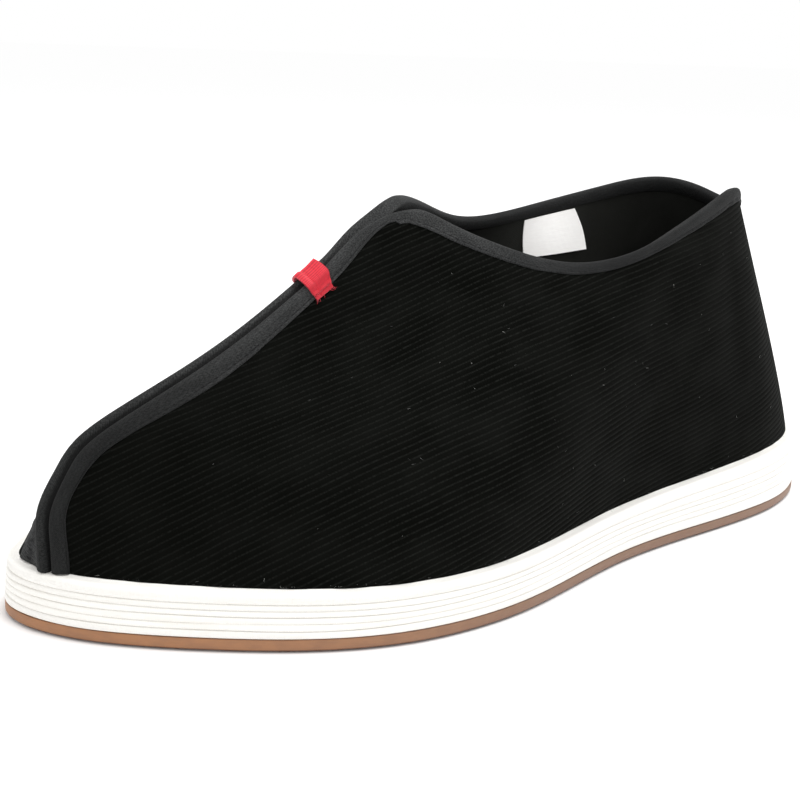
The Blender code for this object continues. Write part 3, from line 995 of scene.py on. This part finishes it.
def binding_depth(side, t, depth):
    """A depth of the even ridge section as the real one at t, where roll and margin change width."""
    reach = np.array(BINDING_REACH)
    column = 1 if side == OUTER else 3
    level = np.clip(t, 0, 1)
    roll = RIDGE_BINDING * spline(reach[:, 0], reach[:, column], level) * ROLL_END / (0.62 * RIDGE_BINDING)
    edge = RIDGE_BINDING * spline(reach[:, 0], reach[:, column + 1], level)
    on_roll = np.minimum(depth, ROLL_END) / ROLL_END
    on_margin = np.maximum(depth - ROLL_END, 0) / (RIDGE_BINDING - ROLL_END)
    return on_roll * roll + on_margin * (edge - roll)


def tape_points(side, path, depth, above):
    """Points a depth in from the finished edge, and above the upper's outside, along the path."""
    result = np.zeros((len(path), 3))
    depth = np.broadcast_to(depth, len(path))
    above = np.broadcast_to(above, len(path))
    leaves = 1 - ease(0.0, MITRE, path[:, 2])
    front = path[:, 3] == 0
    s = path[:, 0]
    t = path[:, 1]
    depth = np.where(front, binding_depth(side, t, depth), depth)
    turn = THROAT_TURN * np.maximum(depth, 0.00001)
    corner = np.clip(1 - path[:, 2] / turn, 0, 1)
    bow = turn * (1 - np.sqrt(1 - corner * corner / 2))
    slide = turn * corner * (1 - math.sqrt(0.5))
    t_front = t[front] - (depth[front] * leaves[front] + slide[front]) / per_rise(side, 0.0)
    reach = SEAM_HALF + depth[front] + bow[front]
    s_front = side_share(side, reach, np.minimum(t_front, 1), 0.12, 40)
    result[front] = skin(side, s_front, t_front, above[front])
    back = ~front
    moved = (SEAM_HALF + depth[back]) * leaves[back] + slide[back]
    s_back = np.minimum(s[back] + moved / per_run(side, 1.0), 1)
    below = depth[back] - OVER_EDGE + bow[back]
    t_back = rise_share(side, s_back, below, 0.75, 40)
    t_back = np.where(below < 0, 1 - below / per_rise(side, s_back), t_back)
    result[back] = skin(side, s_back, t_back, above[back])
    return result


def raised(side, section):
    """The ridge section with the roll as high as it is on this side."""
    section = np.array(section)
    if side == INNER:
        roll = section[:, 1] > ROLL_OVER
        section[roll, 1] *= INNER_RISE
    return section


def make_tape(name, side, finish):
    """One half's binding: rolled up the front, folded over the edge round the collar."""
    piece = Piece(name)
    path = tape_path(side)
    ridge = np.array(RIDGE_SECTION) / 1000
    rim = np.array(COLLAR_SECTION) / 1000
    rising = 0.6 * (1 - ease(0.004, 0.035, path[:, 2]))
    turned = np.where(path[:, 3] == 1, 0.6 + 0.4 * ease(0.0, 0.02, path[:, 2]), rising)
    place = np.linspace(0, 1, len(path))
    pucker = PUCKER * wobble(place, 31, 60, 30)
    frayed = 0.5 * PUCKER * wobble(place, 32, 30, 15) * ease(0.004, 0.03, path[:, 2])
    columns = []
    for row, (low, high) in enumerate(zip(raised(side, ridge), rim)):
        depth = low[0] + turned * (high[0] - low[0])
        above = low[1] + turned * (high[1] - low[1])
        if row < 4:
            depth = depth + frayed
        if 0 < row < 5:
            above = above + pucker
        columns.append(tape_points(side, path, depth, above))
    points = np.stack(columns, 1)
    points[-1, :, 1] = seam_line(points[-1, :, 0])
    crest = points[:, ROLL_CREST]
    around = np.concatenate([ridge, ridge[:1]])
    piece.grid(points, pairs(lengths(crest)[:, None], lengths(around)[None, :]), wrap=True)
    piece.cap(points[0])
    return piece.make([finish], angle=60)


def make_ribbon(finish):
    """The red ribbon over the ridge: narrower at its hanging ends, with one folded edge."""
    piece = Piece("red_ribbon")
    reach = TAB_WIDTH / (TAB_RISE * (BACK_HEIGHT - TOE_SOLE))
    hang = np.linspace(-1, 1, TAB_STEPS + 1)
    width = np.linspace(0, 1, 15)
    lows = []
    highs = []
    for share in hang:
        side = OUTER if share >= 0 else INNER
        away = abs(share) * TAB_DROP
        over = raised(side, np.array(RIDGE_SECTION[1:11]) / 1000)[::-1]
        spots = binding_depth(side, TAB_AT - reach / 2, over[:, 0])
        narrow = TAB_NARROW * ease(0.1, 1.0, abs(share))
        across_t = TAB_AT - reach + reach * (narrow + (1 - 2 * narrow) * width) - TAB_SLANT * abs(share)
        s = side_share(side, max(away, 0.00001), across_t)
        roll = np.interp(away, spots, over[:, 1], right=0.0)
        crest = TAB_OVER if side == OUTER else TAB_OVER * INNER_RISE
        flat_top = crest * (1 - ease(0.0026, 0.0075, away))
        lift = max(roll + TAB_CLEAR, flat_top)
        fold = TAB_FOLD * (1 - ease(0.20, 0.25, width))
        fold = fold - TAB_FOLD_DIP * np.exp(-(((width - 0.27) / 0.03) ** 2))
        crumple = TAB_CRUMPLE * np.sin(9 * width + 5 * share)
        for sheet, above in ((lows, lift + crumple), (highs, lift + crumple + TAB_THICK + fold)):
            if away < TAB_SOFT:
                normal = facing(side, side_share(side, TAB_SOFT, across_t), across_t)
                level = unit(normal * (1, away / TAB_SOFT, 1))
                sheet.append(upper(side, s, across_t) + above[:, None] * level)
            else:
                sheet.append(skin(side, s, across_t, above))
    lows = np.array(lows)
    highs = np.array(highs)
    rows = np.concatenate([lows, highs[:, ::-1]], 1)
    around = np.concatenate([width, 1 + width, [2.0]]) * TAB_WIDTH
    piece.tube(rows, pairs(TAB_DROP * hang[:, None], around[None, :]))
    chance = np.random.default_rng(11)
    for end in (0, -1):
        outward = unit(lows[end] - lows[end - 1 if end else 1])
        for k in (0, 1, 2, 6, 11, 13, 14):
            for _ in range(2):
                start = 0.5 * (lows[end][k] + highs[end][k]) + chance.normal(0, 0.00008, 3)
                sideways = unit(lows[end][-1] - lows[end][0])
                lean = (k - 7) / 7 + chance.normal(0, 0.35)
                way = unit(outward[k] + 0.8 * lean * sideways)
                thread(piece, start, way, chance.uniform(0.0004, 0.0011), FRAY_THICK, chance)
    return piece.make([finish])


def thread(piece, start, way, length, radius, chance):
    """A short thin tapered fibre that bends a little."""
    side = unit(np.cross(way, (0.3, 0.2, 1.0)))
    other = np.cross(way, side)
    bend = chance.normal(0, 0.25, 2)
    rings = []
    for share in (0.0, 0.35, 0.7, 1.0):
        curl = length * share * share * (bend[0] * side + bend[1] * other)
        middle = start + way * length * share + curl
        wide = radius * (1 - 0.75 * share)
        rings.append([middle + wide * (math.cos(a) * side + math.sin(a) * other) for a in (0.0, 2.1, 4.2)])
    piece.tube(np.array(rings))


def make_label(finish):
    """A bare woven label on the lining, sewn along its top and curling away from the wall below."""
    piece = Piece("bare_label")
    near = 0.01
    edge = upper(INNER, np.array([LABEL_AT, LABEL_AT + near]), 1.0)
    per_share = np.linalg.norm(edge[1] - edge[0]) / near
    across_share = shares(LABEL_STEPS)
    down = shares(2 * LABEL_STEPS // 3)
    along = LABEL_AT + LABEL_WIDTH * across_share / per_share
    layers = []
    for thick in (0.0, LABEL_THICK):
        rows = []
        for share in down:
            swell = 0.0012 * math.sin(math.pi * share) * across_share**3 / per_share
            s = along + LABEL_PLUMB * share + swell
            t = rise_share(INNER, s, LABEL_BELOW + LABEL_HEIGHT * share)
            curl = LABEL_CURL * share**2 * across_share**3 + 0.0005 * share * np.sin(3 * across_share)
            rows.append(skin(INNER, s, t, -(WALL + LABEL_CLEAR + curl + thick)))
        layers.append(np.array(rows))
    low, high = layers
    rows = np.concatenate([low, high[:, ::-1]], 1)
    wide = np.concatenate([across_share, across_share[::-1], [0.0]]) * LABEL_WIDTH
    piece.tube(rows, pairs(wide[None, :], LABEL_HEIGHT * down[:, None]))
    return piece.make([finish])


def either_side(chance):
    return OUTER if chance.random() < NEAR_SIDE_SHARE else INNER


def make_lint(finish):
    """Loose fibres on the velvet, and short hairs where it meets the sole."""
    piece = Piece("lint")
    chance = np.random.default_rng(5)
    for _ in range(LINT):
        side = either_side(chance)
        s = chance.uniform(0.06, 0.97)
        t = chance.uniform(0.02, 0.9)
        start = skin(side, s, t, 0.00003)
        out = facing(side, np.array(s), np.array(t))
        way = unit(np.cross(out, chance.normal(0, 1, 3)) + 0.2 * out)
        thread(piece, start, way, chance.uniform(0.0003, 0.0012), LINT_THICK, chance)
    for _ in range(HAIRS):
        side = either_side(chance)
        s = chance.uniform(0.03, 0.99)
        start = skin(side, s, chance.uniform(0.0, 0.012), 0.0)
        out = facing(side, np.array(s), np.array(0.01))
        way = unit(out + chance.normal(0, 0.5, 3) - (0, 0, 0.25))
        thread(piece, start, way, chance.uniform(0.0004, 0.0012), HAIR_THICK, chance)
    return piece.make([finish])


def velvet_cloth():
    """Black corduroy: wide dark wales with a thin broken lighter line between them, and painted shade
    towards the toe.
    """
    graph = Graph("corduroy", 0.9, 0.02)
    where, _, over = graph.flat()
    x = graph.place()[1]
    drift = graph.minus(graph.noise(where, (60, 25)), 0.5)
    wale = graph.wave(graph.plus(over, graph.times(drift, WALE_DRIFT)), WALE)
    broken = graph.noise(where, (2200, 900), 3)
    line = graph.times(graph.between(wale, 0.34, 0.0), graph.between(broken, 0.32, 0.68, 0.15, 1.0))
    line = graph.times(line, graph.between(x, -0.10, 0.0, 0.45, 1.0))
    patches = graph.noise(where, (55, 80), 3)
    pile = graph.fade(patches, 0.3, 0.75, (0.0020, 0.0022, 0.0017), (0.0045, 0.0048, 0.0041))
    nap = graph.between(graph.noise(where, (2500, 1500)), 0.5, 0.85, 0.0, 0.4)
    pile = graph.mix(nap, pile, (0.0075, 0.0078, 0.0070))
    worn = graph.mix(line, pile, (0.0115, 0.0122, 0.0108))
    # Painted shade: the corduroy is darker towards the toe.
    toe = graph.between(x, 0.03, 0.125, 0.0, 0.4)
    graph.colour(graph.mix(toe, worn, (0.0020, 0.0022, 0.0016)))
    graph.sheen(0.035, 0.4, (0.5, 0.5, 0.48))
    grain = graph.noise(where, (3500, 3500))
    graph.bump((graph.math("POWER", wale, 0.5), 0.00022), (grain, 0.00006))
    return graph.material


def weave(graph, yarn):
    """A fine diagonal weave: raised yarns with a twill's slant."""
    where, along, over = graph.flat()
    rib = graph.wave(graph.plus(along, graph.times(over, 0.8)), yarn)
    cross = graph.wave(graph.minus(over, graph.times(along, 0.35)), yarn * 0.8)
    loose = graph.noise(where, (900, 900))
    both = graph.times(rib, graph.plus(graph.times(cross, 0.5), 0.5))
    return graph.plus(both, graph.times(loose, 0.5))


def twill_tape():
    """Black twill tape with a line of stitches near its inner edge."""
    graph = Graph("twill_tape", 0.8, 0.08)
    where, along, over = graph.flat()
    _, x, y, _ = graph.place()
    cloth = weave(graph, TAPE_YARN)
    shade = graph.noise(where, (120, 300), 3)
    dark = graph.fade(shade, 0.3, 0.7, (0.014, 0.0145, 0.0145), (0.022, 0.023, 0.023))
    light = graph.fade(shade, 0.3, 0.7, (0.055, 0.056, 0.056), (0.074, 0.075, 0.075))
    grain = graph.plus(graph.times(cloth, 0.25), graph.noise(where, (2300, 1900)))
    tone = graph.fade(grain, 0.48, 0.86, dark, light)
    # Darker at the collar. Painted shade at the toe's outer side and deep in the groove between the two
    # halves.
    # Painted shade: the tape darkens towards the toe, more on its outer side.
    toe = graph.times(graph.between(x, 0.055, 0.125, 0.0, 0.75), graph.between(y, -0.005, 0.001, 0.35, 1.0))
    tone = graph.mix(toe, tone, (0.0065, 0.0068, 0.0066))
    tone = graph.mix(graph.between(x, 0.035, -0.030, 0.0, 0.72), tone, (0.0045, 0.0047, 0.0047))
    # Painted shade deep in the groove between the two halves.
    groove = graph.times(graph.between(over, 0.0076, 0.0085), graph.between(x, 0.042, 0.056, 0.0, 0.75))
    tone = graph.mix(groove, tone, (0.004, 0.004, 0.004))
    seam = graph.between(graph.away(over, STITCH_LINE), 0.00030, 0.00012)
    dash = graph.between(graph.wave(along, STITCH), 0.12, 0.3)
    stitch = graph.times(seam, dash)
    # Painted shade in the sunk stitch channel between the stitches.
    sunk_painted_shade = graph.times(seam, graph.minus(1.0, dash))
    tone = graph.mix(graph.times(sunk_painted_shade, 0.7), tone, (0.006, 0.006, 0.006))
    graph.colour(graph.mix(graph.times(stitch, 0.45), tone, (0.012, 0.012, 0.013)))
    graph.sheen(0.05, 0.4, (0.7, 0.7, 0.7))
    channel = graph.minus(graph.times(stitch, 0.8), seam)
    graph.bump((channel, 0.00025), (cloth, 0.00007))
    return graph.material


def lining_cloth():
    """Plain black cotton, a little worn."""
    graph = Graph("lining", 0.85, 0.03)
    where = graph.flat()[0]
    cloth = weave(graph, LINING_YARN)
    worn = graph.noise(where, (40, 40), 4)
    tone = graph.fade(worn, 0.35, 0.7, (0.0130, 0.0134, 0.0118), (0.0190, 0.0195, 0.0175))
    graph.colour(graph.mix(graph.between(cloth, 0.5, 1.2, 0.0, 0.4), tone, (0.018, 0.018, 0.017)))
    graph.sheen(0.05, 0.4, (0.6, 0.6, 0.6))
    graph.bump((cloth, 0.00008))
    return graph.material


def sock_cloth():
    """The insole's plain cotton."""
    graph = Graph("sock", 0.88, 0.12)
    where, x, y, _ = graph.place()
    cloth = graph.times(graph.wave(x, SOCK_WEFT), graph.wave(y, SOCK_WARP))
    worn = graph.noise(where, (35, 35, 35), 4)
    graph.colour(graph.fade(worn, 0.35, 0.7, (0.012, 0.012, 0.0125), (0.022, 0.022, 0.023)))
    graph.sheen(0.2, 0.4, (0.6, 0.6, 0.6))
    graph.bump((cloth, 0.00012))
    return graph.material


def red_satin():
    """Red ribbon with ribs across it and a stitched end."""
    graph = Graph("red_satin", 0.5, 0.35)
    where, along, over = graph.flat()
    cloth = graph.plus(graph.times(graph.wave(along, RIBBON_RIB), 0.6), graph.noise(where, (500, 1500), 3))
    deep = graph.fade(cloth, 0.4, 1.2, (0.44, 0.012, 0.024), (0.70, 0.022, 0.042))
    hang = graph.math("ABSOLUTE", along)
    end = graph.between(hang, TAB_DROP * 0.72, TAB_DROP * 0.92, 0.0, 0.45)
    graph.colour(graph.mix(end, deep, (0.40, 0.010, 0.022)))
    graph.sheen(0.5, 0.35, (1.0, 0.45, 0.5))
    row = graph.between(graph.away(hang, TAB_DROP * 0.8), 0.0003, 0.0001)
    sewn = graph.times(row, graph.wave(over, RIBBON_STITCH))
    graph.bump((graph.times(sewn, -1.0), 0.0002), (cloth, 0.00008))
    return graph.material


def label_satin():
    """White woven satin, bare."""
    graph = Graph("label_satin", 0.55, 0.3)
    where, _, over = graph.flat()
    cloth = graph.plus(graph.times(graph.wave(over, LABEL_RIB), 0.5), graph.noise(where, (300, 900), 3))
    graph.colour(graph.fade(cloth, 0.3, 1.2, (0.94, 0.92, 0.90), (0.98, 0.97, 0.95)))
    graph.sheen(0.3, 0.3, (1.0, 1.0, 1.0))
    graph.bump((cloth, 0.00006))
    return graph.material


def white_cotton():
    """The sole's off-white cloth: fine woven edges with a few soiled specks."""
    graph = Graph("white_cotton", 0.85, 0.15)
    where, along, over = graph.flat()
    woven = graph.times(graph.wave(along, SOLE_WARP), graph.wave(over, SOLE_WEFT))
    cloth = graph.plus(woven, graph.times(graph.noise(where, (700, 1500), 3), 0.8))
    stain = graph.noise(where, (45, 220), 4)
    clean = graph.fade(stain, 0.45, 0.8, (0.895, 0.880, 0.845), (0.855, 0.835, 0.79))
    specks = graph.between(graph.noise(where, (900, 1400), 1), 0.76, 0.84, 0.0, 0.35)
    clean = graph.mix(specks, clean, (0.52, 0.46, 0.40))
    graph.colour(graph.mix(graph.between(cloth, 0.9, 0.2, 0.0, 0.12), clean, (0.70, 0.66, 0.60)))
    graph.sheen(0.15, 0.5, (1.0, 0.98, 0.95))
    graph.bump((cloth, 0.00007))
    return graph.material


def brown_rubber():
    """Brown rubber sheet: warmer towards the toe, darker along its bottom edge."""
    graph = Graph("brown_rubber", 0.5, 0.35)
    where, x, _, z = graph.place()
    mottle = graph.noise(where, (220, 220, 500), 4)
    base = graph.fade(x, 0.0, 0.12, (0.225, 0.137, 0.094), (0.34, 0.160, 0.075))
    base = graph.mix(graph.between(mottle, 0.35, 0.7, 0.0, 0.35), base, (0.20, 0.105, 0.065))
    low = graph.between(z, 0.0009, 0.0003, 0.0, 0.75)
    graph.colour(graph.mix(low, base, (0.085, 0.030, 0.018)))
    fine = graph.noise(where, (2500, 2500, 2500))
    graph.bump((mottle, 0.00012), (fine, 0.00004))
    return graph.material


def fibre():
    """Loose grey fibres, some lighter than others."""
    graph = Graph("fibre", 0.7, 0.2)
    mixed = graph.noise(graph.place()[0], (90, 90, 90))
    graph.colour(graph.fade(mixed, 0.4, 0.6, (0.10, 0.10, 0.10), (0.42, 0.42, 0.40)))
    return graph.material


def place_camera():
    """The camera, aimed and rolled as the photograph's was."""
    scene = bpy.context.scene
    camera = bpy.data.cameras.new("camera")
    camera.sensor_width = CAMERA_SENSOR
    camera.lens = CAMERA_LENS
    camera.clip_start = CAMERA_NEAREST
    holder = bpy.data.objects.new("camera", camera)
    at = Vector(CAMERA_AT)
    look = (Vector(CAMERA_AIM) - at).normalized()
    right = look.cross(Vector((0, 0, 1))).normalized()
    up = right.cross(look)
    roll = math.radians(CAMERA_ROLL)
    turned_right = math.cos(roll) * right + math.sin(roll) * up
    turned_up = math.cos(roll) * up - math.sin(roll) * right
    pose = Matrix((turned_right, turned_up, -look)).transposed().to_4x4()
    pose.translation = at
    holder.matrix_world = pose
    scene.collection.objects.link(holder)
    scene.camera = holder


def place_floor():
    """A pale floor, as wide as the eye sees."""
    data = bpy.data.meshes.new("floor")
    far = FLOOR_REACH
    corners = [(-far, -far, 0), (far, -far, 0), (far, far, 0), (-far, far, 0)]
    data.from_pydata(corners, [], [(0, 1, 2, 3)])
    pale = Graph("floor", 0.9, 0.0)
    pale.colour((0.99, 0.99, 0.99))
    data.materials.append(pale.material)
    floor = bpy.data.objects.new("floor", data)
    floor.location.z = -FLOOR_DROP
    bpy.context.scene.collection.objects.link(floor)


def place_lamp(name, kind, at, aim, power):
    """A lamp that points at aim. Its own settings are returned."""
    lamp = bpy.data.lights.new(name, kind)
    lamp.energy = power
    made = bpy.data.objects.new(name, lamp)
    made.location = at
    made.rotation_euler = (Vector(aim) - made.location).to_track_quat("-Z", "Y").to_euler()
    bpy.context.scene.collection.objects.link(made)
    return lamp


def studio():
    """Camera, pale floor and soft light, and a narrow light on the label inside."""
    place_camera()
    world = bpy.data.worlds.new("studio")
    world.use_nodes = True
    backdrop = world.node_tree.nodes["Background"]
    backdrop.inputs["Color"].default_value = (1.0, 1.0, 1.0, 1.0)
    backdrop.inputs["Strength"].default_value = SKY
    bpy.context.scene.world = world
    bpy.context.scene.view_settings.view_transform = "Standard"
    place_floor()
    for name, at, size, power in LIGHTS:
        lamp = place_lamp(name, "AREA", at, LIGHT_AIM, power)
        lamp.shape = "DISK"
        lamp.size = size
    lamp = place_lamp("inside", "SPOT", SPOT_AT, SPOT_AIM, SPOT_POWER)
    lamp.spot_size = math.radians(SPOT_CONE)
    lamp.spot_blend = SPOT_BLEND
    lamp.shadow_soft_size = SPOT_SIZE


def main():
    velvet = velvet_cloth()
    tape = twill_tape()
    lining = lining_cloth()
    made = [
        (make_outsole(brown_rubber()), ("outsole",), "brown_rubber"),
        (make_layers(white_cotton()), ("midsole",), "white_cloth"),
        (make_insole(sock_cloth()), ("insole",), "black_lining"),
        (make_upper(velvet, lining), ("upper",), "black_corduroy"),
        (make_tape("tape_outer", OUTER, tape), ("ridge_binding_outer", "collar_binding"), "black_twill"),
        (make_tape("tape_inner", INNER, tape), ("ridge_binding_inner",), "black_twill"),
        (make_ribbon(red_satin()), ("front_tab",), "red_ribbon"),
        (make_label(label_satin()), ("size_label",), "white_label"),
        (make_lint(fibre()), (), "black_corduroy"),
    ]
    for piece, nodes, finish in made:
        if nodes:
            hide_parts(*nodes)
    studio()


main()
